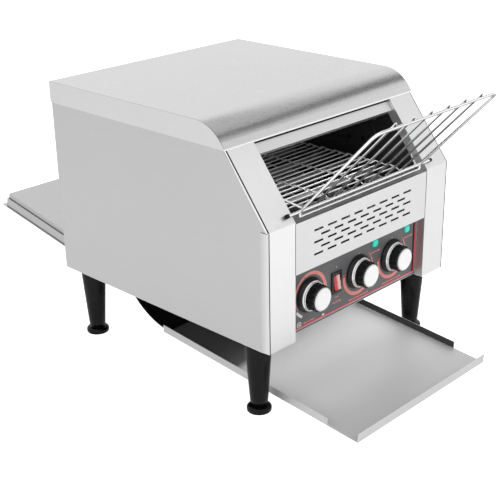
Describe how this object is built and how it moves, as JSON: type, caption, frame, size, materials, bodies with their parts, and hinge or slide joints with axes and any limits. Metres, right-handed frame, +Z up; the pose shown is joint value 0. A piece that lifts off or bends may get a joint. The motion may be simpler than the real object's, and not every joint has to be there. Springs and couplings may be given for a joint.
{
  "type": "conveyor toaster",
  "caption": "Countertop conveyor toaster with a wire feed rack, wire belt through a heated tunnel, curved chute, pull-out bread tray, rear shelf, fluted knobs and tapered legs.",
  "frame": {"origin": "on the standing surface, under the middle of the machine's overall box", "axes": "+Z up, +Y towards the machine's back, +X to its right seen from the front"},
  "size_m": [0.3706, 0.7046, 0.3967],
  "materials": {
    "brushed_steel": "satin",
    "bright_steel": "bright satin",
    "plain_steel": "mill finish",
    "chrome_wire": "polished",
    "black_enamel": "semi-gloss",
    "fascia": "satin",
    "leg_black": "matte",
    "foot_rubber": "matte",
    "knob_black": "semi-gloss",
    "bright_trim": "polished",
    "rocker_red": "gloss",
    "switch_black": "matte",
    "lamp_lens": "gloss",
    "heater_glass": "frosted",
    "ceramic": "matte",
    "bearing_metal": "satin",
    "moulded_black": "matte",
    "pale_plastic": "matte"
  },
  "bodies": {
    "casing": {"top_cover": "brushed_steel", "left_side_panel": "brushed_steel", "right_side_panel": "brushed_steel", "left_front_column": "bright_steel", "right_front_column": "bright_steel", "front_lintel": "brushed_steel", "front_vent_panel": "bright_steel", "control_panel": "plain_steel", "control_fascia": "fascia", "base_plate": "plain_steel", "rear_panel": "brushed_steel", "left_chamber_wall": "plain_steel", "right_chamber_wall": "plain_steel", "heat_shield": "plain_steel", "upper_reflector": "plain_steel", "upper_heater_tubes": "heater_glass", "lower_heater_tubes": "heater_glass", "heater_holders": "ceramic", "toast_chute": "black_enamel", "rear_shelf_top": "brushed_steel", "rear_shelf_tray": "brushed_steel", "front_left_leg": "leg_black", "front_right_leg": "leg_black", "rear_left_leg": "leg_black", "rear_right_leg": "leg_black", "belt_top_run": "chrome_wire", "belt_bottom_run": "chrome_wire", "belt_front_turn": "chrome_wire", "belt_rear_turn": "chrome_wire", "shaft_bearings": "bearing_metal", "gear_motor": "plain_steel", "fan_frame": "moulded_black", "heat_regulators": "moulded_black", "power_switch_housing": "switch_black", "indicator_lamps": "lamp_lens", "terminal_block": "pale_plastic", "cable_gland": "moulded_black"},
    "bread_tray": {"bread_tray": "brushed_steel"},
    "front_left_foot": {"front_left_foot": "foot_rubber"},
    "front_right_foot": {"front_right_foot": "foot_rubber"},
    "rear_left_foot": {"rear_left_foot": "foot_rubber"},
    "rear_right_foot": {"rear_right_foot": "foot_rubber"},
    "upper_heat_knob": {"upper_heat_knob": "knob_black", "upper_heat_knob_trim": "bright_trim"},
    "lower_heat_knob": {"lower_heat_knob": "knob_black", "lower_heat_knob_trim": "bright_trim"},
    "speed_knob": {"speed_knob": "knob_black", "speed_knob_trim": "bright_trim"},
    "power_rocker": {"power_rocker": "rocker_red"},
    "drive_shaft": {"drive_shaft": "plain_steel", "drive_sprockets": "plain_steel"},
    "idler_shaft": {"idler_shaft": "plain_steel", "idler_sprockets": "plain_steel"},
    "fan_rotor": {"fan_rotor": "moulded_black"},
    "feed_rack": {"feed_rack": "chrome_wire", "feed_rack_caps": "foot_rubber"}
  },
  "joints": [
    {"name": "feed_rack_hinge", "type": "hinge", "parent": "casing", "child": "feed_rack", "pos_m": [0, -0.21591, 0.28451], "axis": [-1, 0, 0], "range_deg": [0, 80]},
    {"name": "upper_heat_knob_turn", "type": "hinge", "parent": "casing", "child": "upper_heat_knob", "pos_m": [-0.095, -0.24192, 0.1498], "axis": [0, 1, 0], "range_deg": [0, 270]},
    {"name": "lower_heat_knob_turn", "type": "hinge", "parent": "casing", "child": "lower_heat_knob", "pos_m": [0.003, -0.24192, 0.1498], "axis": [0, 1, 0], "range_deg": [0, 270]},
    {"name": "speed_knob_turn", "type": "hinge", "parent": "casing", "child": "speed_knob", "pos_m": [0.076, -0.24192, 0.1498], "axis": [0, 1, 0], "range_deg": [0, 270]},
    {"name": "power_rocker_tilt", "type": "hinge", "parent": "casing", "child": "power_rocker", "pos_m": [-0.042, -0.22892, 0.149], "axis": [1, 0, 0], "range_deg": [0, 22]},
    {"name": "drive_shaft_spin", "type": "hinge", "parent": "casing", "child": "drive_shaft", "pos_m": [0, 0.06408, 0.23782], "axis": [-1, 0, 0], "continuous": true},
    {"name": "idler_shaft_spin", "type": "hinge", "parent": "casing", "child": "idler_shaft", "pos_m": [0, -0.19992, 0.23782], "axis": [-1, 0, 0], "continuous": true},
    {"name": "fan_rotor_spin", "type": "hinge", "parent": "casing", "child": "fan_rotor", "pos_m": [0, -0.12192, 0.11], "axis": [0, 0, 1], "continuous": true},
    {"name": "bread_tray_slide", "type": "slide", "parent": "casing", "child": "bread_tray", "axis": [0, -1, 0], "range_m": [0, 0.2]},
    {"name": "front_left_foot_screw", "type": "slide", "parent": "casing", "child": "front_left_foot", "axis": [0, 0, -1], "range_m": [0, 0.012]},
    {"name": "front_right_foot_screw", "type": "slide", "parent": "casing", "child": "front_right_foot", "axis": [0, 0, -1], "range_m": [0, 0.012]},
    {"name": "rear_left_foot_screw", "type": "slide", "parent": "casing", "child": "rear_left_foot", "axis": [0, 0, -1], "range_m": [0, 0.012]},
    {"name": "rear_right_foot_screw", "type": "slide", "parent": "casing", "child": "rear_right_foot", "axis": [0, 0, -1], "range_m": [0, 0.012]}
  ],
  "couplings": [
    {"joint": "idler_shaft_spin", "follows": "drive_shaft_spin", "ratio": 1}
  ]
}
